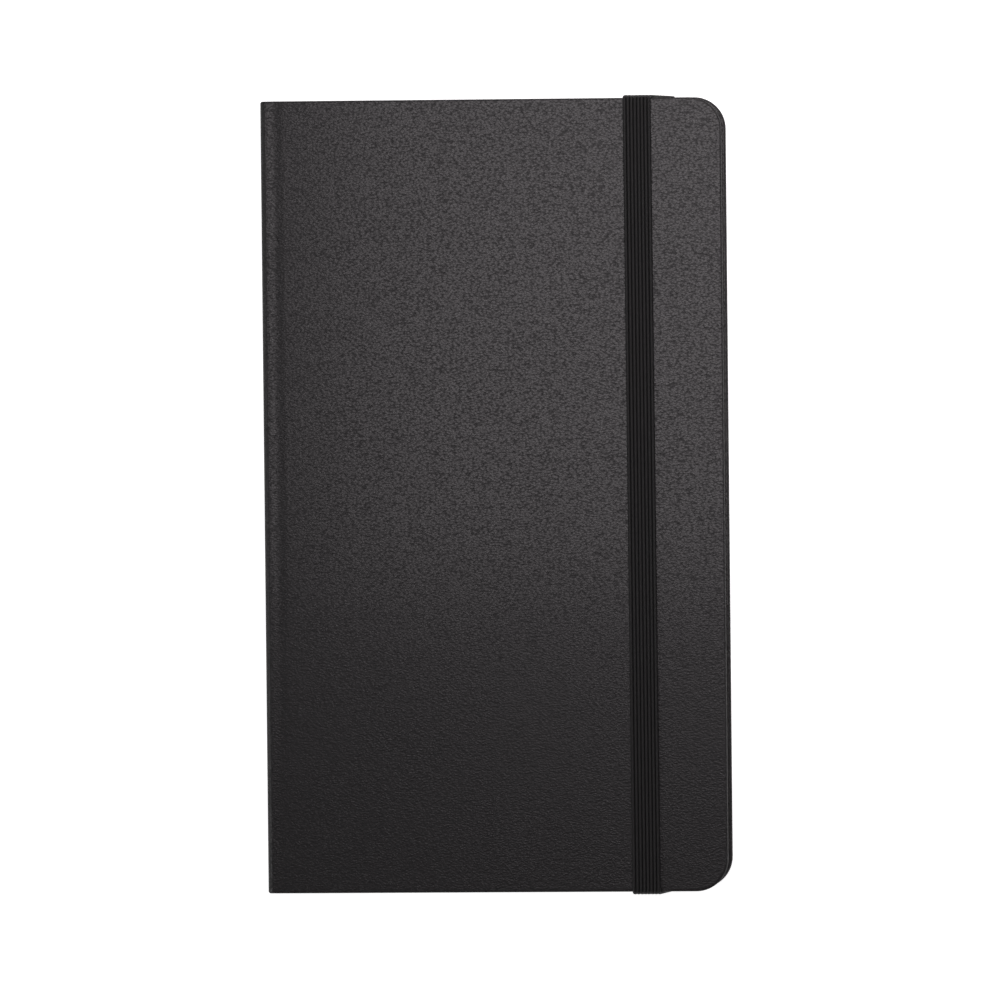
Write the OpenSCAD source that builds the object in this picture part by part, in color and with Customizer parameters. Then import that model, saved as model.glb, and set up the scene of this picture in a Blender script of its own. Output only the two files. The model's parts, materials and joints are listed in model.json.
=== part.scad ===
// Pocket notebook: hard covers in leatherette, eight sewn page sections,
// a pocket inside the back cover and an elastic strap that holds the book shut.
// The book lies closed on its back cover, with the head towards +Y, the fore edge
// towards +X and the origin in the middle of the face that it rests on.

/* [Book] */
// Width from the spine to the fore edge
book_w = 87.4; // [80:0.1:100]
// Height of the covers from tail to head
book_h = 150; // [135:1:165]
// Thickness of the closed book, without the strap
book_t = 13; // [12:0.5:18]

/* [Covers] */
// Thickness of the leatherette
skin_t = 0.4; // [0.3:0.05:0.5]
// Thickness of the grey board in each cover
board_t = 1.5; // [1.4:0.1:1.8]
// Thickness of the leatherette turned in over the board
turn_in_t = 0.25; // [0.2:0.05:0.3]
// Width of the leatherette turned in over the board
turn_in_w = 12; // [8:1:15]
// Thickness of the endpaper glued inside each cover
pastedown_t = 0.15; // [0.1:0.05:0.2]
// Radius of the two corners at the fore edge
corner_r = 6; // [4:0.5:8]
// Distance from the spine's face to the board, which leaves a groove to fold in
board_from_spine = 4.5; // [4:0.1:6]

/* [Spine] */
// Thickness of the card strip inside the spine
spine_card_t = 1; // [0.8:0.05:1]
// Radius of the fold between the spine and each cover
fold_r = 1; // [0.9:0.05:1.2]

/* [Pages] */
// Margin of the covers beyond the pages at the head, the tail and the fore edge
square_w = 3; // [2:0.5:4]
// Thickness of a flyleaf
flyleaf_t = 0.12; // [0.1:0.01:0.15]
// Thickness of the gauze glued over the folds of the sections
lining_t = 0.25; // [0.2:0.05:0.25]
// Thickness of the sewing thread
thread_d = 0.2; // [0.15:0.05:0.2]
// Number of stitches outside each fold
stitch_count = 4; // [3:1:6]

/* [Pocket] */
// Thickness of the card panel
panel_t = 0.3; // [0.2:0.05:0.35]
// Thickness of a folded cloth gusset
gusset_t = 0.2; // [0.15:0.05:0.25]
// Width of a folded cloth gusset
gusset_w = 8; // [6:1:12]
// Distance from the spine's face to the pocket's open edge
pocket_from_spine = 16; // [12:1:30]

/* [Elastic] */
// Width of the elastic
strap_w = 5.3; // [4:0.1:8]
// Thickness of the elastic
strap_t = 0.6; // [0.5:0.05:0.9]
// Distance from the fore edge to the middle of the elastic on the front cover
strap_from_edge = 15.65; // [14:0.05:30]
// Distance from the fore edge to the middle of each slit in the back cover
slit_from_edge = 12.3; // [11:0.05:30]
// Distance from the head or the tail to the slit in the back cover
slit_from_end = 12; // [8:1:20]
// Length of each end glued inside the back cover
glued_end = 12; // [8:1:20]

/* [Hidden] */
section_count = 8;
$fn = 96;

eps = 0.01;
overrun = 1;                                 // of a cutting shape past what it cuts
gap = 0.05;                                  // room between pieces that move apart
card_margin = 0.5;                           // from each fold to the spine card
page_corner_inset = 1;                       // the pages' corners are this much tighter
lining_margin = 4;                           // from the head and the tail of the pages
pocket_margin_x = 1.5;                       // from the fore edge of the pages
pocket_margin_y = 2;                         // from the head and the tail of the pages
gusset_setback = 1;                          // from the open edge of the pocket
window_r = corner_r / 2;                     // corners of the window between turned-in edges
half_w = book_w / 2;
half_h = book_h / 2;
cover_t = skin_t + board_t + turn_in_t + pastedown_t;
board_x = board_from_spine - half_w;         // spine-side edge of both boards
board_top = skin_t + board_t;                // inner face of the back board
spine_x = -half_w;                           // outer face of the spine
fold_x = spine_x + fold_r;                   // the covers turn about lines at this x
skin_x = fold_x + fold_r + 2 * gap;          // where each cover's own skin begins
card_end = fold_r + card_margin;
spine_inner = spine_x + skin_t + spine_card_t + turn_in_t;

panel_z = cover_t + gusset_t + gap;
block_z0 = panel_z + panel_t + gap;          // underside of the back flyleaf
block_z1 = book_t - cover_t - gap;           // top of the front flyleaf
section_pitch = (block_z1 - block_z0 - 2 * flyleaf_t) / section_count;
section_t = section_pitch - gap;
lining_x = spine_inner + gap;                // outer face of the lining
fold_line_x = lining_x + lining_t + 2 * gap + thread_d;  // outermost line of the page folds
page_x1 = half_w - square_w;
page_half_h = half_h - square_w;
page_corner_r = corner_r - page_corner_inset;

pocket_x0 = spine_x + pocket_from_spine;
pocket_x1 = page_x1 - pocket_margin_x;
pocket_half_h = page_half_h - pocket_margin_y;

strap_x0 = half_w - strap_from_edge - strap_w / 2;
slit_x0 = half_w - slit_from_edge - strap_w / 2;
slit_y = half_h - slit_from_end;
strap_y = half_h + gap;                      // inner face of the elastic past the head
strap_z = book_t + gap;                      // inner face of the elastic over the front

// ---- shapes ----

// A flat sheet from x0 to x1, with its two corners at x1 rounded
module sheet(x0, x1, half_len, r, z0, t) {
  translate([0, 0, z0])
    linear_extrude(t) {
      translate([x0, -half_len]) square([x1 - x0 - r, 2 * half_len]);
      translate([x0, r - half_len]) square([x1 - x0, 2 * (half_len - r)]);
      for (side = [-1, 1])
        translate([x1 - r, side * (half_len - r)]) circle(r);
    }
}

// Turns a piece of the back cover over to make the front cover's
module at_front() {
  translate([0, 0, book_t]) mirror([0, 0, 1]) children();
}

// Draws a piece at the head and again at the tail
module at_both_ends() {
  children();
  mirror([0, 1, 0]) children();
}

module cover_board() {
  sheet(board_x, half_w - skin_t, half_h - skin_t, corner_r - skin_t, skin_t, board_t);
}

// Leatherette over the outside and the edges of the board, and turned in over it
module cover_skin() {
  difference() {
    sheet(skin_x, half_w, half_h, corner_r, 0, board_top + turn_in_t);
    cover_board();
    translate([skin_x - overrun, -half_h - overrun, skin_t])
      cube([board_x - skin_x + overrun, book_h + 2 * overrun, cover_t]);
    sheet(board_x - overrun, half_w - turn_in_w, half_h - turn_in_w, window_r,
          board_top - eps, turn_in_t + overrun);
  }
}

// Endpaper glued over the turned-in edges and down onto the board between them
module pastedown() {
  sheet(board_x + gap, page_x1, page_half_h, page_corner_r, board_top + turn_in_t, pastedown_t);
  sheet(board_x + gap, half_w - turn_in_w - gap, half_h - turn_in_w - gap, window_r,
        board_top, turn_in_t + eps);
}

// The elastic's path at the head: along a trough outside, through the slit, and inside
module elastic_end(room) {
  x0 = slit_x0 - room;
  w = strap_w + 2 * room;
  translate([x0, slit_y - strap_t - room, -room])
    cube([w, slit_from_end + gap + strap_t + room, strap_t + 2 * room]);
  translate([x0, slit_y - strap_t - room, 0])
    cube([w, strap_t + 2 * room, board_top]);
  translate([x0, slit_y - strap_t - glued_end - room, board_top - strap_t - room])
    cube([w, glued_end + strap_t, strap_t + room]);
}

// ---- covers ----

module front_board() {
  color("darkgray") at_front() cover_board();
}

module back_board() {
  color("darkgray") difference() {
    cover_board();
    at_both_ends() elastic_end(gap);
  }
}

module front_cover_skin() {
  color("#26262a") at_front() cover_skin();
}

module back_cover_skin() {
  color("#26262a") difference() {
    cover_skin();
    at_both_ends() elastic_end(gap);
  }
}

module front_pastedown() {
  color("ivory") at_front() pastedown();
}

module back_pastedown() {
  color("ivory") pastedown();
}

// ---- spine ----

module spine_card() {
  color("darkgray")
    translate([spine_x + skin_t, skin_t - half_h, card_end])
      cube([spine_card_t, book_h - 2 * skin_t, book_t - 2 * card_end]);
}

// Quarter of a tube of leatherette round the back cover's fold
module fold_skin() {
  translate([fold_x, half_h, fold_r])
    rotate([90, 0, 0])
      linear_extrude(book_h)
        intersection() {
          difference() {
            circle(fold_r);
            circle(fold_r - skin_t);
          }
          translate([-fold_r, -fold_r]) square(fold_r);
        }
}

module spine_skin() {
  color("#26262a") {
    translate([spine_x, -half_h, fold_r]) cube([skin_t, book_h, book_t - 2 * fold_r]);
    fold_skin();
    at_front() fold_skin();
    at_both_ends() {
      translate([spine_x, half_h - skin_t, card_end])
        cube([spine_inner - spine_x, skin_t, book_t - 2 * card_end]);
      translate([spine_inner - turn_in_t, half_h - turn_in_w, card_end])
        cube([turn_in_t, turn_in_w, book_t - 2 * card_end]);
    }
  }
}

// ---- pages ----

// A sewn section of folded sheets; 1 lies at the back of the book and 8 at the front
module page_section(k) {
  z0 = block_z0 + flyleaf_t + gap / 2 + (k - 1) * section_pitch;
  color("antiquewhite") {
    sheet(fold_line_x + section_t / 2, page_x1, page_half_h, page_corner_r, z0, section_t);
    translate([fold_line_x + section_t / 2, page_half_h, z0 + section_t / 2])
      rotate([90, 0, 0]) cylinder(d = section_t, h = 2 * page_half_h);
  }
}

module flyleaf(z0) {
  color("ivory") sheet(fold_line_x, page_x1, page_half_h, page_corner_r, z0, flyleaf_t);
}

module back_flyleaf() {
  flyleaf(block_z0);
}

module front_flyleaf() {
  flyleaf(block_z1 - flyleaf_t);
}

// Stitches that lie along the outside of every section's fold, each half as long as their pitch
module sewing_thread() {
  stitch_pitch = 2 * page_half_h / (stitch_count + 1);
  color("linen")
    for (k = [1:section_count])
      for (i = [1:stitch_count])
        translate([lining_x + lining_t + gap + thread_d / 2,
                   stitch_pitch * i - page_half_h,
                   block_z0 + flyleaf_t + (k - 0.5) * section_pitch])
          rotate([90, 0, 0]) cylinder(d = thread_d, h = stitch_pitch / 2, center = true);
}

module spine_lining() {
  color("whitesmoke")
    translate([lining_x, lining_margin - page_half_h, block_z0 + flyleaf_t])
      cube([lining_t, 2 * (page_half_h - lining_margin), section_count * section_pitch]);
}

// ---- pocket ----

// Card panel, hinged along its edge at pocket_x1 and open towards the spine
module pocket_panel() {
  color("ivory")
    translate([pocket_x0, -pocket_half_h, panel_z])
      cube([pocket_x1 - pocket_x0, 2 * pocket_half_h, panel_t]);
}

module pocket_gusset() {
  color("dimgray")
    translate([pocket_x0 + gusset_setback, pocket_half_h - gusset_w, cover_t])
      cube([pocket_x1 - pocket_x0 - gusset_setback, gusset_w, gusset_t]);
}

module pocket_gusset_head() {
  pocket_gusset();
}

module pocket_gusset_tail() {
  mirror([0, 1, 0]) pocket_gusset();
}

// ---- elastic ----

// The stretch past the head, which slants from the front run to the slit
module strap_wrap() {
  translate([0, strap_y + strap_t, 0])
    rotate([90, 0, 0])
      linear_extrude(strap_t)
        polygon([
          [slit_x0, 0],
          [slit_x0 + strap_w, 0],
          [strap_x0 + strap_w, strap_z],
          [strap_x0, strap_z]
        ]);
}

module elastic_strap() {
  color("#17171a") {
    translate([strap_x0, -strap_y, strap_z]) cube([strap_w, 2 * strap_y, strap_t]);
    at_both_ends() {
      strap_wrap();
      // rounded shoulder between the front run and the wrap
      translate([strap_x0, strap_y, strap_z])
        intersection() {
          rotate([0, 90, 0]) cylinder(r = strap_t, h = strap_w);
          cube([strap_w, strap_t, strap_t]);
        }
    }
  }
}

module elastic_ends() {
  color("#17171a") at_both_ends() elastic_end(0);
}

front_board();
back_board();
spine_card();
front_cover_skin();
back_cover_skin();
spine_skin();
front_pastedown();
back_pastedown();
front_flyleaf();
back_flyleaf();
for (k = [1:section_count])
  page_section(k);
sewing_thread();
spine_lining();
pocket_panel();
pocket_gusset_head();
pocket_gusset_tail();
elastic_strap();
elastic_ends();
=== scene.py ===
import json
import math
import random

import bmesh
import bpy
from mathutils import Matrix, Vector


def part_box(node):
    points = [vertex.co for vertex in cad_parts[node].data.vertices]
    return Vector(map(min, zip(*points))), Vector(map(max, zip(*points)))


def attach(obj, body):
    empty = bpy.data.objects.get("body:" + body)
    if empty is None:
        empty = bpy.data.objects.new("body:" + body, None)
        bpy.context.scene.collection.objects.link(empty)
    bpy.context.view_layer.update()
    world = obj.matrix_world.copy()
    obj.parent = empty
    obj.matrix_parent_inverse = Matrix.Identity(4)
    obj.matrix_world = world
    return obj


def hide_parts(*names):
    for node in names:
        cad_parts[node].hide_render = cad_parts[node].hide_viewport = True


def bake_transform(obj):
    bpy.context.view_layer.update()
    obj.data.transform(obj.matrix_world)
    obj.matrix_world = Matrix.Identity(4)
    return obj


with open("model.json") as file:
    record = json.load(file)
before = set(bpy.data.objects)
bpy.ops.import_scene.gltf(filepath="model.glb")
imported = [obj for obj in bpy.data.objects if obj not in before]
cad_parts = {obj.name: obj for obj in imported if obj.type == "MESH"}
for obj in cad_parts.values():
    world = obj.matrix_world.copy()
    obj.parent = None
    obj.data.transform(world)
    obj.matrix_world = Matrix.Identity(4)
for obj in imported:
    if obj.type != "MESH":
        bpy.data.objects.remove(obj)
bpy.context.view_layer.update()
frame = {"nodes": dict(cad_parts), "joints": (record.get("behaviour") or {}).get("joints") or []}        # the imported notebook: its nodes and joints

mm = 0.001
touch = 0.01 * mm            # closer than this counts as in the same plane
pivot = {joint["name"]: Vector(joint.get("pos_m", (0, 0, 0))) for joint in frame["joints"]}
frontLow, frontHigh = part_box("front_cover_skin")
backLow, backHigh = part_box("back_cover_skin")
boardLow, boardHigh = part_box("front_board")
spineLow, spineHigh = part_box("spine_skin")
bookTop = frontHigh.z
print("frame loaded, the closed book is", round(bookTop / mm, 2), "mm thick")


# ways of working shared by every piece

def deselect():
    if bpy.context.mode != "OBJECT":
        bpy.ops.object.mode_set(mode="OBJECT")
    bpy.ops.object.select_all(action="DESELECT")


def activate(piece):
    deselect()
    piece.select_set(True)
    bpy.context.view_layer.objects.active = piece


def openEdit(piece):
    activate(piece)
    bpy.ops.object.mode_set(mode="EDIT")


def pick(piece, kind, test):    # selects the faces or edges that pass a test of their place
    bpy.ops.mesh.select_mode(type=kind)
    bpy.ops.mesh.select_all(action="DESELECT")
    shape = bmesh.from_edit_mesh(piece.data)
    shape.normal_update()
    for part in (shape.faces if kind == "FACE" else shape.edges):
        if test(part):
            part.select_set(True)
    bmesh.update_edit_mesh(piece.data)


def middleOf(part):
    return sum((corner.co for corner in part.verts), Vector()) / len(part.verts)


def sharp(edge, limit=0.6):
    faces = edge.link_faces
    return len(faces) == 2 and faces[0].normal.dot(faces[1].normal) < limit


def upright(edge, least=mm):    # runs along z for at least this far
    return abs(edge.verts[0].co.z - edge.verts[1].co.z) > least


def cutAcross(point, normal):    # adds a line of edges where a plane crosses the open piece
    bpy.ops.mesh.select_all(action="SELECT")
    bpy.ops.mesh.bisect(plane_co=point, plane_no=normal)


def pull(x=0, y=0, z=0):
    bpy.ops.mesh.extrude_region_move(TRANSFORM_OT_translate={"value": (x, y, z)})


def settle(piece):    # the object's place goes into its mesh
    activate(piece)
    bpy.ops.object.transform_apply(location=True, rotation=True, scale=True)


def addBlock(name, low, high):
    deselect()
    bpy.ops.mesh.primitive_cube_add(size=1, location=(low + high) / 2, scale=high - low)
    block = bpy.context.active_object
    block.name = block.data.name = name
    settle(block)
    return block


def applyModifier(piece, kind, **settings):
    activate(piece)
    modifier = piece.modifiers.new(kind.title(), kind)
    for key, value in settings.items():
        setattr(modifier, key, value)
    bpy.ops.object.modifier_apply(modifier=modifier.name)


def thicken(piece, thickness):    # a wall inwards from the outer face
    applyModifier(piece, "SOLIDIFY", thickness=thickness, offset=-1, use_even_offset=True)


def smooth(piece, degrees=35):
    activate(piece)
    bpy.ops.object.shade_smooth_by_angle(angle=math.radians(degrees))


def outwards(piece):
    openEdit(piece)
    bpy.ops.mesh.select_all(action="SELECT")
    bpy.ops.mesh.remove_doubles(threshold=touch / 5)
    bpy.ops.mesh.normals_make_consistent(inside=False)
    deselect()


def copyOf(piece, name):
    twin = piece.copy()
    twin.data = piece.data.copy()
    twin.name = twin.data.name = name
    bpy.context.scene.collection.objects.link(twin)
    return twin


def join(pieces, name):
    deselect()
    for piece in pieces:
        piece.select_set(True)
    bpy.context.view_layer.objects.active = pieces[0]
    bpy.ops.object.join()
    pieces[0].name = pieces[0].data.name = name
    return pieces[0]


def dress(piece, finish):
    piece.data.materials.clear()
    piece.data.materials.append(finish)


# shader trees

class Signal:    # a shader socket that can stand in sums

    def __init__(self, finish, socket):
        self.finish = finish
        self.socket = socket

    def math(self, operation, first, second):
        return self.finish.node("ShaderNodeMath", {"operation": operation}, {0: first, 1: second})

    def __add__(self, other):
        return self.math("ADD", self, other)

    def __mul__(self, other):
        return self.math("MULTIPLY", self, other)

    def __sub__(self, other):
        return self.math("SUBTRACT", self, other)

    def __rsub__(self, other):
        return self.math("SUBTRACT", other, self)

    def __pow__(self, other):
        return self.math("POWER", self, other)

    __radd__ = __add__
    __rmul__ = __mul__


class Finish:    # one material and its nodes

    def __init__(self, name):
        self.material = bpy.data.materials.new(name)
        self.material.use_nodes = True
        self.tree = self.material.node_tree
        self.tree.nodes.clear()

    def node(self, kind, settings=None, inputs=None, output=0):
        made = self.tree.nodes.new(kind)
        for key, value in (settings or {}).items():
            if key == "stops":
                self.setStops(made.color_ramp, value)
            else:
                setattr(made, key, value)
        for key, value in (inputs or {}).items():
            if isinstance(value, Signal):
                self.tree.links.new(value.socket, made.inputs[key])
            else:
                made.inputs[key].default_value = value
        return Signal(self, made.outputs[output]) if made.outputs else None

    def setStops(self, ramp, stops):
        while len(ramp.elements) < len(stops):
            ramp.elements.new(0.5)
        for element, (place, colour) in zip(ramp.elements, stops):
            element.position = place
            element.color = colour

    def place(self):
        return self.node("ShaderNodeTexCoord", output="Object")

    def stretched(self, vector, scale):
        return self.node("ShaderNodeMapping", inputs={"Vector": vector, "Scale": scale})

    def noise(self, vector, size, detail=2.0, roughness=0.5):
        return self.node("ShaderNodeTexNoise", inputs={
            "Vector": vector, "Scale": 1 / size, "Detail": detail, "Roughness": roughness})

    def mixed(self, factor, first, second):
        return self.node("ShaderNodeMix", {"data_type": "RGBA"}, {
            "Factor": factor, "A": first, "B": second}, output="Result")

    def bump(self, height, distance):
        return self.node("ShaderNodeBump", inputs={"Height": height, "Distance": distance, "Strength": 1.0})

    def close(self, **inputs):    # the surface itself
        named = {key.replace("_", " "): value for key, value in inputs.items()}
        surface = self.node("ShaderNodeBsdfPrincipled", inputs=named)
        self.node("ShaderNodeOutputMaterial", inputs={"Surface": surface})
        return self.material


leatheretteLook = {
    # base colour from the pores to the pebble tops: the dark pores are painted shade, the light tops painted
    # light
    "dark": (0.0044, 0.0039, 0.0043, 1),
    "light": (0.0104, 0.0094, 0.0101, 1),
    "pebble": 0.32 * mm,
    "pore": 0.18 * mm,
    "depth": 0.085 * mm,
    "drift": 0.35 * mm,
    "driftSize": 1.0 * mm,
    "grain": (0.62, 1.0, 1.0),   # the pebbles are longer across the cover
    "cloud": 14 * mm,
    "cloudRoughness": 0.06,
    "pebbleShare": 0.75,
    "poreShare": 0.55,
    "polished": (0.45, 0.95),    # heights where the polish begins and is full
    "roughness": (0.24, 0.40),   # on the pebbles, in the pores
    "coat": 0.68,                # the pebbles are polished, the pores are not
    "coatRoughness": 0.20,
    "edgeRoughness": 0.85,       # the rounded edges are duller than the faces
}


def leatheretteFinish():
    look = leatheretteLook
    finish = Finish("blackLeatherette")
    where = finish.place()
    drift = finish.noise(where, look["driftSize"], 2.0)
    bent = finish.node("ShaderNodeVectorMath", {"operation": "MULTIPLY_ADD"}, {
        0: finish.node("ShaderNodeCombineXYZ", inputs={"X": drift, "Y": drift, "Z": drift}),
        1: (look["drift"],) * 3, 2: where})
    bent = finish.stretched(bent, look["grain"])
    pebbles = finish.node("ShaderNodeTexVoronoi", {"feature": "SMOOTH_F1"}, {
        "Vector": bent, "Scale": 1 / look["pebble"], "Smoothness": 0.3, "Randomness": 1.0})
    pores = finish.noise(bent, look["pore"], 2.0, 0.6)
    cloud = finish.noise(where, look["cloud"], 3.0)
    height = (1 - pebbles) * look["pebbleShare"] + pores * look["poreShare"]
    begins, full = look["polished"]
    polish = finish.node("ShaderNodeMapRange", inputs={"Value": height, "From Min": begins, "From Max": full})
    low, high = look["roughness"]
    gloss = high - polish * (high - low) + cloud * look["cloudRoughness"]
    normalZ = finish.node("ShaderNodeSeparateXYZ", inputs={
        "Vector": finish.node("ShaderNodeTexCoord", output="Normal")}, output="Z")
    flat = finish.node("ShaderNodeMath", {"operation": "ABSOLUTE"}, {0: normalZ}) ** 2
    dull = look["edgeRoughness"]
    return finish.close(
        # painted shade and light: the colour follows the pebble height, darker in the pores and lighter on
        # the tops
        Base_Color=finish.mixed(height, look["dark"], look["light"]),
        Roughness=dull + flat * (gloss - dull),
        Normal=finish.bump(height, look["depth"]),
        Specular_IOR_Level=0.3,
        Coat_Weight=flat * polish * look["coat"],
        Coat_Roughness=look["coatRoughness"],
    )


waveCycle = 0.314            # a wave texture of scale 1 repeats in this length
elasticLook = {
    "dark": (0.0012, 0.0011, 0.0012, 1),
    "light": (0.0060, 0.0054, 0.0056, 1),
    "yarn": 0.22 * mm,
    "yarnWander": 2.0,
    "fuzz": 0.16 * mm,
    "depth": 0.05 * mm,
    "roughness": (0.50, 0.70),
}


def elasticFinish():
    look = elasticLook
    finish = Finish("blackElastic")
    where = finish.place()
    yarn = finish.node("ShaderNodeTexWave", {"bands_direction": "Y", "wave_profile": "SIN"}, {
        "Vector": where, "Scale": waveCycle / look["yarn"], "Distortion": look["yarnWander"],
        "Detail": 1.0, "Detail Scale": 3.0})
    fuzz = finish.noise(finish.stretched(where, (1, 0.35, 1)), look["fuzz"], 3.0, 0.65)
    low, high = look["roughness"]
    return finish.close(
        Base_Color=finish.mixed(fuzz * 0.7 + yarn * 0.3, look["dark"], look["light"]),
        Roughness=low + (high - low) * fuzz,
        Normal=finish.bump(yarn * 0.4 + fuzz * 0.8, look["depth"]),
        Specular_IOR_Level=0.32,
    )


paperLook = {
    "page": ((0.80, 0.76, 0.64, 1), (0.86, 0.83, 0.73, 1)),
    "endpaper": ((0.78, 0.73, 0.60, 1), (0.83, 0.79, 0.67, 1)),
    "board": ((0.30, 0.29, 0.27, 1), (0.42, 0.41, 0.38, 1)),
    "fibre": 0.35 * mm,
}


def paperFinish(name, kind, depth=0.006 * mm):
    dark, light = paperLook[kind]
    finish = Finish(name)
    where = finish.place()
    fibres = finish.noise(finish.stretched(where, (1, 0.4, 1)), paperLook["fibre"], 4.0, 0.6)
    cloud = finish.noise(where, 9 * mm, 3.0, 0.6)
    return finish.close(
        Base_Color=finish.mixed(fibres * 0.5 + cloud * 0.5, dark, light),
        Roughness=0.78 + 0.14 * fibres,
        Normal=finish.bump(fibres, depth),
        Specular_IOR_Level=0.35,
    )


clothLook = {
    "gauze": ((0.55, 0.54, 0.49, 1), (0.80, 0.79, 0.74, 1), 0.42 * mm),
    "gusset": ((0.014, 0.014, 0.016, 1), (0.045, 0.045, 0.05, 1), 0.30 * mm),
    "thread": ((0.62, 0.60, 0.53, 1), (0.82, 0.80, 0.73, 1), 0.14 * mm),
}


def clothFinish(name, kind):
    dark, light, pitch = clothLook[kind]
    finish = Finish(name)
    where = finish.place()
    rate = waveCycle / pitch
    waves = []
    for direction in "XYZ":
        waves.append(finish.node("ShaderNodeTexWave", {"bands_direction": direction}, {
            "Vector": where, "Scale": rate, "Distortion": 0.6, "Detail": 1.0}))
    weave = (waves[0] + waves[1] + waves[2]) * 0.333
    fuzz = finish.noise(where, pitch * 0.6, 2.0)
    return finish.close(
        Base_Color=finish.mixed(weave * 0.7 + fuzz * 0.3, dark, light),
        Roughness=0.8 + 0.15 * fuzz,
        Normal=finish.bump(weave, 0.05 * mm),
        Sheen_Weight=0.2,
    )


leatherette = leatheretteFinish()
elastic = elasticFinish()
pagePaper = paperFinish("pagePaper", "page")
endpaper = paperFinish("endpaper", "endpaper", 0.010 * mm)
greyboard = paperFinish("greyboard", "board", 0.02 * mm)
gauze = clothFinish("gauze", "gauze")
gussetCloth = clothFinish("gussetCloth", "gusset")
threadFinish = clothFinish("linenThread", "thread")
print("materials made")


# covers: leatherette over the outside, round the edges and turned in over the board

coverLook = {
    "cornerRadius": 6 * mm,
    "cornerSteps": 16,
    "edgeRound": 0.42 * mm,
    "edgeSteps": 4,
    "flatRim": 0.3 * mm,     # a ring beside each rounded edge, so that the faces shade flat
    "turnIn": 12 * mm,
    "wall": 0.25 * mm,
}
jointLook = {                # the leatherette between board and spine, doubled at head and tail
    "thickness": 0.55 * mm,
    "innerRound": 0.10 * mm,
    "grooveDepth": 0.045 * mm,
    "grooveSteps": 14,
    "foldSteps": 22,
    "clear": 0.02 * mm,      # the spine's ends stand this far from the folds
}
foldX = pivot["cover_opening"].x
foldRadius = foldX - spineLow.x


def isOpening(face, inner, high):    # the window between the turned-in edges
    place = middleOf(face)
    turnIn = coverLook["turnIn"]
    flat = abs(place.z - inner) < touch and abs(face.normal.z) > 0.9
    return flat and place.x < high.x - turnIn and abs(place.y) < high.y - turnIn


def cutBesideEnds(reach):    # lines of edges beside both rounded ends
    for side in (-1, 1):
        cutAcross((0, side * (reach - coverLook["edgeRound"] - coverLook["flatRim"]), 0), (0, 1, 0))


def coverShell(name, low, high, inner):
    look = coverLook
    shell = addBlock(name, Vector((boardLow.x, low.y, low.z)), high)
    openEdit(shell)
    pick(shell, "EDGE", lambda e: middleOf(e).x > high.x - mm and upright(e))
    bpy.ops.mesh.bevel(offset=look["cornerRadius"], segments=look["cornerSteps"], affect="EDGES")
    pick(shell, "EDGE", lambda e: sharp(e) and middleOf(e).x > boardLow.x + touch)
    bpy.ops.mesh.bevel(offset=look["edgeRound"], segments=look["edgeSteps"], affect="EDGES")
    pick(shell, "FACE", lambda f: abs(f.normal.z) > 0.999)
    bpy.ops.mesh.inset(thickness=look["flatRim"])
    cutAcross((high.x - look["turnIn"], 0, 0), (1, 0, 0))
    for side in (-1, 1):
        cutAcross((0, side * (high.y - look["turnIn"]), 0), (0, 1, 0))
    pick(shell, "FACE", lambda f: isOpening(f, inner, high))
    bpy.ops.mesh.delete(type="FACE")
    deselect()
    thicken(shell, look["wall"])
    return shell


def jointSection(name, x, outer, up):    # the doubled leatherette's end, upright across the strip
    look = jointLook
    deselect()
    bpy.ops.mesh.primitive_plane_add(size=1, rotation=(0, math.pi / 2, 0))
    strip = bpy.context.active_object
    strip.name = strip.data.name = name
    strip.scale = (look["thickness"], frontHigh.y * 2, 1)
    strip.location = (x, 0, outer - up * look["thickness"] / 2)
    settle(strip)
    openEdit(strip)
    bpy.ops.mesh.select_mode(type="VERT")
    for offset, outside in ((coverLook["edgeRound"], True), (look["innerRound"], False)):
        shape = bmesh.from_edit_mesh(strip.data)
        for corner in shape.verts:
            atFace = abs(corner.co.z - outer) < touch
            atInside = abs(corner.co.z - outer + up * look["thickness"]) < touch
            corner.select_set(atFace if outside else atInside)
        shape.select_flush_mode()
        bmesh.update_edit_mesh(strip.data)
        bpy.ops.mesh.bevel(offset=offset, segments=coverLook["edgeSteps"], affect="VERTICES")
    bpy.ops.mesh.select_mode(type="FACE")
    bpy.ops.mesh.select_all(action="SELECT")
    return strip


def grooveStrip(name, outer, up):
    look = jointLook
    strip = jointSection(name, boardLow.x, outer, up)
    steps = look["grooveSteps"]
    for step in range(steps):
        dips = [look["grooveDepth"] * math.sin(math.pi * turn / steps) ** 2 for turn in (step, step + 1)]
        pull((foldX - boardLow.x) / steps, 0, up * (dips[0] - dips[1]))
    cutBesideEnds(frontHigh.y)
    deselect()
    outwards(strip)
    return strip


def foldStrip(name, outer, up):
    strip = jointSection(name, foldX, outer, up)
    bpy.ops.mesh.spin(steps=jointLook["foldSteps"], angle=up * math.pi / 2,
                      center=(foldX, 0, outer - up * foldRadius), axis=(0, 1, 0))
    cutBesideEnds(frontHigh.y)
    deselect()
    outwards(strip)
    return strip


def spineShell():
    look = coverLook
    reach = foldRadius + jointLook["clear"]
    low = Vector((spineLow.x, spineLow.y, reach))
    high = Vector((spineHigh.x, spineHigh.y, bookTop - reach))
    shell = addBlock("spineSkin", low, high)
    openEdit(shell)
    pick(shell, "EDGE", lambda e: sharp(e) and abs(middleOf(e).y) > high.y - touch and upright(e))
    bpy.ops.mesh.bevel(offset=look["edgeRound"], segments=look["edgeSteps"], affect="EDGES")
    cutBesideEnds(high.y)
    for side in (-1, 1):
        cutAcross((0, side * (high.y - look["turnIn"]), 0), (0, 1, 0))
    pick(shell, "FACE", lambda f: (abs(f.normal.z) > 0.9 or f.normal.x > 0.9)
         and abs(middleOf(f).y) < high.y - look["turnIn"])
    bpy.ops.mesh.delete(type="FACE")
    deselect()
    thicken(shell, look["wall"])
    return shell


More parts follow.
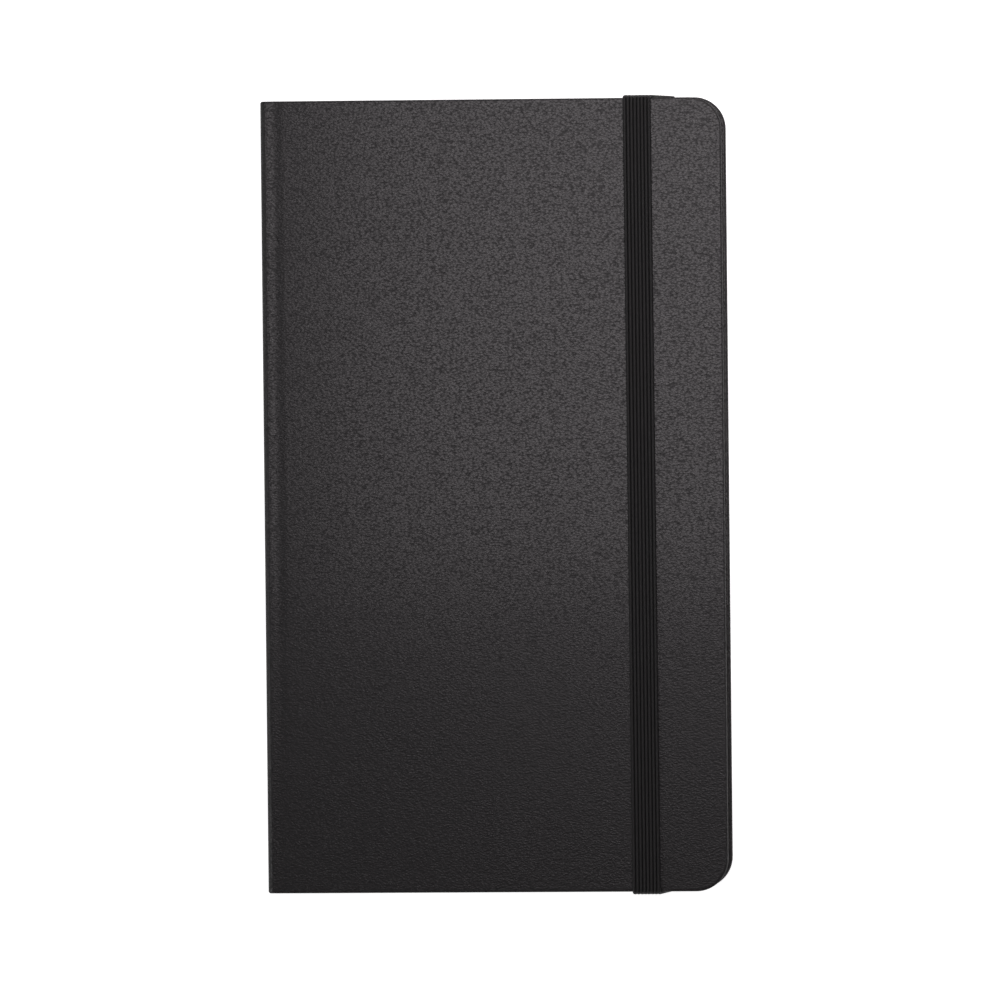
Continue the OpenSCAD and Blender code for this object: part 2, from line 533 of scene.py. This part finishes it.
frontSkin = coverShell("frontCoverSkin", frontLow, frontHigh, frontLow.z)
backSkin = coverShell("backCoverSkin", backLow, backHigh, backHigh.z)
spineSkin = spineShell()
frontGroove = grooveStrip("frontGrooveSkin", bookTop, 1)
rearGroove = grooveStrip("rearGrooveSkin", 0.0, -1)
frontFold = foldStrip("frontFoldSkin", bookTop, 1)
rearFold = foldStrip("rearFoldSkin", 0.0, -1)
print("cover skins made")


# troughs and slits for the elastic's ends in the back cover

troughLook = {
    "room": 0.12 * mm,       # beside the elastic
    "deeper": 0.1 * mm,
    "slitFromEnd": 12 * mm,
    "overrun": mm,
}
strapGap = 0.05 * mm         # between the elastic and the covers
endsLow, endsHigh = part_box("elastic_ends")
strapLow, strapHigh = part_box("elastic_strap")
elasticThickness = strapHigh.z - bookTop - strapGap
slitY = endsHigh.y - strapGap - troughLook["slitFromEnd"]


def cutTroughs():
    look = troughLook
    room = look["room"]
    for side in (-1, 1):
        low = Vector((endsLow.x - room, slitY - elasticThickness - room, -look["overrun"]))
        high = Vector((endsHigh.x + room, backHigh.y + look["overrun"], elasticThickness + look["deeper"]))
        if side < 0:
            low.y, high.y = -high.y, -low.y
        cutter = addBlock("troughCutter", low, high)
        applyModifier(backSkin, "BOOLEAN", operation="DIFFERENCE", object=cutter, solver="EXACT")
        bpy.data.objects.remove(cutter)


cutTroughs()
for skin in (frontSkin, frontGroove, frontFold, backSkin, rearGroove, rearFold, spineSkin):
    smooth(skin)
    dress(skin, leatherette)
for skin in (frontSkin, frontGroove):
    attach(skin, "front_cover")
    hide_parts("front_cover_skin")
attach(backSkin, "back_cover")
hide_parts("back_cover_skin")
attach(spineSkin, "spine")
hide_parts("spine_skin")
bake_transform(frontFold)
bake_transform(rearFold)
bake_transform(rearGroove)
print("covers finished")


# pages: each section is a stack of leaves, folded at the spine

sectionCount = 8
rearSections = 4             # the sections that stay behind when the cover is opened
pageLook = {
    "leaves": 9,
    "fill": 0.86,            # share of each leaf's pitch that is paper
    "cornerRadius": 5 * mm,
    "cornerSteps": 8,
    "trim": 0.035 * mm,      # how unevenly the fore edge is trimmed
}
pageChance = random.Random(7)


def pageStack(name, node):
    look = pageLook
    low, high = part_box(node)
    pitch = (high.z - low.z) / look["leaves"]
    leafTop = pitch * look["fill"]
    leaf = addBlock("leaf", Vector((low.x, low.y, 0)), Vector((high.x, high.y, leafTop)))
    openEdit(leaf)
    pick(leaf, "EDGE", lambda e: middleOf(e).x > high.x - mm and upright(e, touch))
    bpy.ops.mesh.bevel(offset=look["cornerRadius"], segments=look["cornerSteps"], affect="EDGES")
    deselect()
    leaves = []
    radius = (high.z - low.z) / 2
    for number in range(look["leaves"]):
        off = (number + 0.5) * pitch - radius
        setBack = radius - math.sqrt(radius ** 2 - off ** 2)
        twin = copyOf(leaf, "leafCopy")
        wide = high.x - low.x
        short = pageChance.uniform(0, look["trim"])
        twin.scale = ((wide - setBack - short) / wide, 1 - pageChance.uniform(0, look["trim"]) / high.y, 1)
        twin.location = (high.x - short - high.x * twin.scale.x, 0, low.z + number * pitch)
        settle(twin)
        leaves.append(twin)
    bpy.data.objects.remove(leaf)
    stack = join(leaves, name)
    smooth(stack, 30)
    dress(stack, pagePaper)
    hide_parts(node)
    return stack


for number in range(1, sectionCount + 1):
    section = pageStack(f"pageSection{number}", f"page_section_{number}")
    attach(section, "rear_pages" if number <= rearSections else f"pages_{number}")
print("page sections made")


# sewing thread: stitches along the outside of every fold

stitchLook = {
    "count": 4,
    "sides": 10,
    "dip": 0.16 * mm,
    "bends": (0.04, 0.12, 0.25),    # shares of the length from each end
    "straight": 0.25,               # share of the length, from the middle to where it turns in
}
threadLow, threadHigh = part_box("sewing_thread")


def stitch(length, radius):
    deselect()
    bpy.ops.mesh.primitive_cylinder_add(vertices=stitchLook["sides"], radius=radius, depth=length,
                                        rotation=(math.pi / 2, 0, 0))
    made = bpy.context.active_object
    settle(made)
    openEdit(made)
    for side in (-1, 1):
        for share in stitchLook["bends"]:
            cutAcross((0, side * length * (0.5 - share), 0), (0, 1, 0))
    deselect()
    straight = stitchLook["straight"]
    for corner in made.data.vertices:    # both ends turn in to the fold
        near = max(0.0, abs(corner.co.y) / length - straight) / (0.5 - straight)
        corner.co.x += stitchLook["dip"] * near ** 2
    return made


def stitchesFor(name, sections, body):
    radius = (threadHigh.x - threadLow.x) / 2
    pageLow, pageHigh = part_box("page_section_1")
    pitch = (pageHigh.y - pageLow.y) / (stitchLook["count"] + 1)
    first = stitch(pitch / 2, radius)
    row = []
    for number in sections:
        low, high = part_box(f"page_section_{number}")
        for index in range(stitchLook["count"]):
            twin = copyOf(first, "stitchCopy")
            twin.location = (threadLow.x + radius, pageLow.y + pitch * (index + 1), (low.z + high.z) / 2)
            settle(twin)
            row.append(twin)
    bpy.data.objects.remove(first)
    thread = join(row, name)
    smooth(thread, 50)
    dress(thread, threadFinish)
    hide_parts("sewing_thread")
    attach(thread, body)


stitchesFor("sewingThreadRear", range(1, rearSections + 1), "rear_pages")
for number in range(rearSections + 1, sectionCount + 1):
    stitchesFor(f"sewingThread{number}", [number], f"pages_{number}")
print("sewing thread made")


# spine lining: gauze that bends where the book is opened

liningLook = {"turn": 0.35 * mm, "steps": 40, "edge": 0.05 * mm}
liningLow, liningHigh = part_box("spine_lining")


def spineLining():
    look = liningLook
    lining = addBlock("spineLining", liningLow, liningHigh)
    openEdit(lining)
    for step in range(1, look["steps"]):
        height = liningLow.z + (liningHigh.z - liningLow.z) * step / look["steps"]
        cutAcross((0, 0, height), (0, 0, 1))
    pick(lining, "EDGE", lambda e: sharp(e))
    bpy.ops.mesh.bevel(offset=look["edge"], segments=2, affect="EDGES")
    deselect()
    smooth(lining)
    dress(lining, gauze)
    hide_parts("spine_lining")
    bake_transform(lining)


spineLining()


# pocket: a card panel with a folded hem, and a cloth gusset at each end

pocketLook = {
    "hem": 7 * mm,
    "hemRise": 0.06 * mm,
    "edge": 0.04 * mm,
    "clothThickness": 0.05 * mm,
    "lengthSteps": 24,
    "foldSteps": 8,
}
panelLow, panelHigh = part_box("pocket_panel")


def pocketPanel():
    look = pocketLook
    panel = addBlock("pocketPanel", panelLow, panelHigh - Vector((0, 0, look["hemRise"])))
    openEdit(panel)
    cutAcross((panelLow.x + look["hem"], 0, 0), (1, 0, 0))
    pick(panel, "FACE", lambda f: f.normal.z > 0.9 and middleOf(f).x < panelLow.x + look["hem"])
    pull(0, 0, look["hemRise"])
    pick(panel, "EDGE", lambda e: sharp(e))
    bpy.ops.mesh.bevel(offset=look["edge"], segments=2, affect="EDGES")
    pick(panel, "FACE", lambda f: abs(f.normal.z) > 0.999)
    bpy.ops.mesh.inset(thickness=coverLook["flatRim"])
    deselect()
    smooth(panel)
    dress(panel, endpaper)
    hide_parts("pocket_panel")
    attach(panel, "pocket")


def gusset(name, node, side):    # a flat strip of cloth, folded once lengthwise with the fold inside
    look = pocketLook
    low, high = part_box(node)
    thickness = look["clothThickness"]
    edgeY = max(abs(low.y), abs(high.y))
    depth = high.y - low.y
    floorZ = low.z + thickness / 2
    rise = high.z - low.z - thickness
    deselect()
    bpy.ops.mesh.primitive_grid_add(x_subdivisions=look["lengthSteps"],
                                    y_subdivisions=look["foldSteps"] * 2, size=1)
    cloth = bpy.context.active_object
    cloth.name = cloth.data.name = name
    cloth.scale = (high.x - low.x, depth * 2, 1)
    cloth.location = ((low.x + high.x) / 2, 0, 0)
    settle(cloth)
    for corner in cloth.data.vertices:
        along = corner.co.y + depth    # from the edge glued to the cover to the edge glued to the panel
        corner.co.y = side * (edgeY - depth + abs(along - depth))
        corner.co.z = floorZ + rise * along / (depth * 2)
    applyModifier(cloth, "SOLIDIFY", thickness=thickness, offset=0)
    outwards(cloth)
    smooth(cloth, 50)
    dress(cloth, gussetCloth)
    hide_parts(node)
    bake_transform(cloth)


pocketPanel()
gusset("headGusset", "pocket_gusset_head", 1)
gusset("tailGusset", "pocket_gusset_tail", -1)
print("pocket made")


# endpapers: the stretch beyond each pastedown, down into the joint

hingeLook = {
    "thickness": 0.12 * mm,
    "clear": 0.08 * mm,
    "round": 0.2 * mm,
    "roundSteps": 3,
    "firstStrip": 0.1 * mm,
    "offBoard": ((0.35 * mm, 0.4 * mm), (0.8 * mm, 0)),      # from the board's edge, from the groove
    "offFlyleaf": ((0.9 * mm, 0), (0.3 * mm, 0.6 * mm)),     # from the flyleaf's edge, from the groove
    "offFold": (0.6 * mm, 0.1 * mm),                         # from the fold
}


def endpaperHinge(name, pastedown, outer, up, lastPoints):
    look = hingeLook
    low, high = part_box(pastedown)
    depth = jointLook["thickness"] + jointLook["grooveDepth"] + look["clear"]
    edge = abs(outer - (low.z if up > 0 else high.z))
    path = [(low.x, edge - look["thickness"] / 2),    # x, and depth under the cover's face
            (boardLow.x - look["clear"] - look["thickness"], edge - look["thickness"])]
    path += [(boardLow.x - off, depth + more) for off, more in look["offBoard"]] + lastPoints(depth)
    path = [(x, outer - up * deep) for x, deep in path]
    deselect()
    bpy.ops.mesh.primitive_plane_add(size=1)
    paper = bpy.context.active_object
    paper.name = paper.data.name = name
    startX, startZ = path[0]
    paper.scale = (look["firstStrip"], high.y * 2, 1)
    paper.location = (startX + look["firstStrip"] / 2, 0, startZ)
    settle(paper)
    openEdit(paper)
    pick(paper, "EDGE", lambda e: all(c.co.x < startX + touch for c in e.verts))
    for near, far in zip(path, path[1:]):
        pull(far[0] - near[0], 0, far[1] - near[1])
    deselect()
    applyModifier(paper, "BEVEL", affect="EDGES", width=look["round"], segments=look["roundSteps"],
                  limit_method="ANGLE", angle_limit=math.radians(8))
    applyModifier(paper, "SOLIDIFY", thickness=look["thickness"], offset=0)
    outwards(paper)
    smooth(paper, 50)
    dress(paper, endpaper)
    return paper, path


def upToFlyleaf(depth):
    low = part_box("back_flyleaf")[0]
    return [(low.x + off, depth + more) for off, more in hingeLook["offFlyleaf"]] + [(low.x, low.z)]


def ontoTheFold(depth):    # the front stretch is glued down as far as the fold
    far, near = hingeLook["offFold"]
    return [(foldX + far, depth), (foldX + near, depth - jointLook["grooveDepth"])]


rearHinge, hingePath = endpaperHinge("rearEndpaperHinge", "back_pastedown", 0.0, -1, upToFlyleaf)
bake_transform(rearHinge)
frontHinge = endpaperHinge("frontEndpaperHinge", "front_pastedown", bookTop, 1, ontoTheFold)[0]
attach(frontHinge, "front_cover")
print("endpaper joints made")


# elastic: ribbed cords side by side, over the front, round both ends and into the slits

strapLook = {
    "cords": 8,
    "sides": 14,
    "overlap": 1.0,          # how far the cords bite into each other
    "slant": -0.0029,        # sideways drift of the front run towards the head
    "bend": 0.85 * mm,       # radius round the front cover's edge
    "tightBend": 0.45 * mm,
    "straightStep": 2.5 * mm,
    "bendSteps": 7,
    "tail": 11.5 * mm,
    "pinch": (0.40, 0.85),   # share of its thickness past the covers' ends, at the back and at the front
}


def elasticCord(name):
    look = strapLook
    half = elasticThickness / 2
    width = endsHigh.x - endsLow.x
    pitch = width / (look["cords"] - 1 + look["overlap"])
    deselect()
    bpy.ops.mesh.primitive_circle_add(vertices=look["sides"], radius=1, fill_type="NGON",
                                      rotation=(math.pi / 2, 0, 0))
    cord = bpy.context.active_object
    settle(cord)
    for corner in cord.data.vertices:
        corner.co = (corner.co.x * pitch * look["overlap"] / 2, 0, corner.co.z * half)
    frontZ = strapHigh.z - half
    wrapY = strapHigh.y - half
    for corner in cord.data.vertices:
        corner.co.z += frontZ
    openEdit(cord)
    bpy.ops.mesh.select_mode(type="FACE")
    bpy.ops.mesh.select_all(action="SELECT")
    run(0, wrapY - look["bend"], "y")
    turn(wrapY - look["bend"], frontZ - look["bend"], -90)
    run(frontZ - look["bend"], half + look["tightBend"], "z")
    turn(wrapY - look["tightBend"], half + look["tightBend"], -90)
    slitCentre = slitY - half
    run(wrapY - look["tightBend"], slitCentre + look["tightBend"], "y")
    turn(slitCentre + look["tightBend"], half + look["tightBend"], -90)
    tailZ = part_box("back_board")[1].z - half
    run(half + look["tightBend"], tailZ - look["tightBend"], "z")
    turn(slitCentre - look["tightBend"], tailZ - look["tightBend"], 90)
    run(slitCentre - look["tightBend"], slitCentre - look["tail"], "y")
    deselect()
    cord.name = cord.data.name = name
    return cord, pitch


def run(start, end, along):    # a straight stretch, in even steps
    count = max(1, round(abs(end - start) / strapLook["straightStep"]))
    for step in range(count):
        pull(**{along: (end - start) / count})


def turn(y, z, degrees):
    bpy.ops.mesh.spin(steps=strapLook["bendSteps"], angle=math.radians(-degrees),
                      center=(0, y, z), axis=(1, 0, 0))


def elasticBand():
    look = strapLook
    first, pitch = elasticCord("elasticCord")
    applyModifier(first, "MIRROR", use_axis=(False, True, False), use_clip=True, merge_threshold=touch)
    cords = []
    slitX = (endsLow.x + endsHigh.x) / 2
    for number in range(look["cords"]):
        twin = copyOf(first, "cordCopy")
        twin.location.x = slitX + (number - (look["cords"] - 1) / 2) * pitch
        settle(twin)
        cords.append(twin)
    bpy.data.objects.remove(first)
    band = join(cords, "elasticBand")
    outwards(band)
    strapX = strapLow.x + (endsHigh.x - endsLow.x) / 2
    for corner in band.data.vertices:    # the front run lies nearer the spine than the slits
        rise = min(1.0, max(0.0, (corner.co.z - elasticThickness) / (bookTop - elasticThickness)))
        corner.co.x += rise * (strapX - slitX + look["slant"] * corner.co.y)
        beyond = abs(corner.co.y) - backHigh.y
        if beyond > 0:    # stretched tight round the edges
            backShare, frontShare = look["pinch"]
            share = backShare + (frontShare - backShare) * rise
            corner.co.y = math.copysign(backHigh.y + beyond * share, corner.co.y)
    smooth(band, 60)
    dress(band, elastic)
    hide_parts("elastic_strap", "elastic_ends")
    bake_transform(band)


elasticBand()
print("elastic made")


# CAD pieces that keep their shape

kept = {
    "front_board": greyboard, "back_board": greyboard, "spine_card": greyboard,
    "front_pastedown": endpaper, "back_pastedown": endpaper,
    "front_flyleaf": endpaper, "back_flyleaf": endpaper,
}
for node, finish in kept.items():
    piece = frame["nodes"][node]
    piece.data.materials.clear()
    piece.data.materials.append(finish)


# floor, lights and camera

stageLook = {
    "floor": (0.90, 0.90, 0.90, 1),
    "floorGlow": 0.79,       # the floor is lit from below, like a light table
    "floorSize": 10.0,
    "floorShade": 0.985,     # its darkest patches against the rest
    "floorCloud": 0.25,
    "floorDrop": 0.02 * mm,
    "world": 0.06,
    "softboxes": {           # place, width, depth, power in watts, aimed at, colour
        "headSoftbox": ((0.121, 0.202, 0.30), 0.368, 0.456, 1.36, (0.121, 0.202, 0.0), (1.0, 0.935, 0.965)),
        "farSoftbox": ((-1.1, -0.6, 0.9), 0.90, 0.90, 9.0, (0.0, 0.0, 0.0), (1.0, 1.0, 1.0)),
    },
}
cameraLook = {
    "target": Vector((0.581, -0.916, 6.5)) * mm,
    "distance": 2.6,
    "fromForeEdge": 5.232,   # degrees off the vertical, towards the fore edge
    "fromHead": 1.60,
    "roll": 0.585,
    "lens": 494.0,
    "clipStart": 0.01,
}


def addFloor():
    look = stageLook
    deselect()
    bpy.ops.mesh.primitive_grid_add(x_subdivisions=4, y_subdivisions=4, size=look["floorSize"])
    floor = bpy.context.active_object
    floor.name = floor.data.name = "floor"
    finish = Finish("paleFloor")
    cloud = finish.noise(finish.place(), look["floorCloud"], 2.0)
    light = look["floor"]
    dark = tuple(part * look["floorShade"] for part in light[:3]) + (1,)
    floor.data.materials.append(finish.close(
        Base_Color=finish.mixed(cloud, dark, light), Roughness=0.9,
        Emission_Color=(1, 1, 1, 1), Emission_Strength=look["floorGlow"]))
    floor.location.z = -look["floorDrop"]
    settle(floor)


def addSoftbox(name, place, width, depth, power, target, colour):
    deselect()
    bpy.ops.object.light_add(type="AREA", location=place)
    light = bpy.context.active_object
    light.name = name
    light.data.shape = "RECTANGLE"
    light.data.size = width
    light.data.size_y = depth
    light.data.energy = power
    light.data.color = colour
    light.rotation_euler = (Vector(target) - Vector(place)).to_track_quat("-Z", "Y").to_euler()
    light.visible_camera = False


def addCamera():
    look = cameraLook
    away = Vector((math.tan(math.radians(look["fromForeEdge"])), math.tan(math.radians(look["fromHead"])), 1))
    away.normalize()
    deselect()
    bpy.ops.object.camera_add(location=look["target"] + away * look["distance"])
    camera = bpy.context.active_object
    camera.name = "frontCamera"
    camera.data.lens = look["lens"]
    camera.data.clip_start = look["clipStart"]
    roll = math.radians(look["roll"])
    right = Vector((math.sin(roll), math.cos(roll), 0)).cross(away).normalized()
    up = away.cross(right)
    camera.rotation_euler = Matrix((right, up, away)).transposed().to_euler()
    bpy.context.scene.camera = camera


def addWorld():
    world = bpy.data.worlds.new("softRoom")
    world.use_nodes = True
    background = world.node_tree.nodes["Background"]
    background.inputs["Color"].default_value = (1, 1, 1, 1)
    background.inputs["Strength"].default_value = stageLook["world"]
    bpy.context.scene.world = world


addFloor()
for softbox, values in stageLook["softboxes"].items():
    addSoftbox(softbox, *values)
addCamera()
addWorld()
bpy.context.scene.view_settings.view_transform = "Standard"
print("stage set")
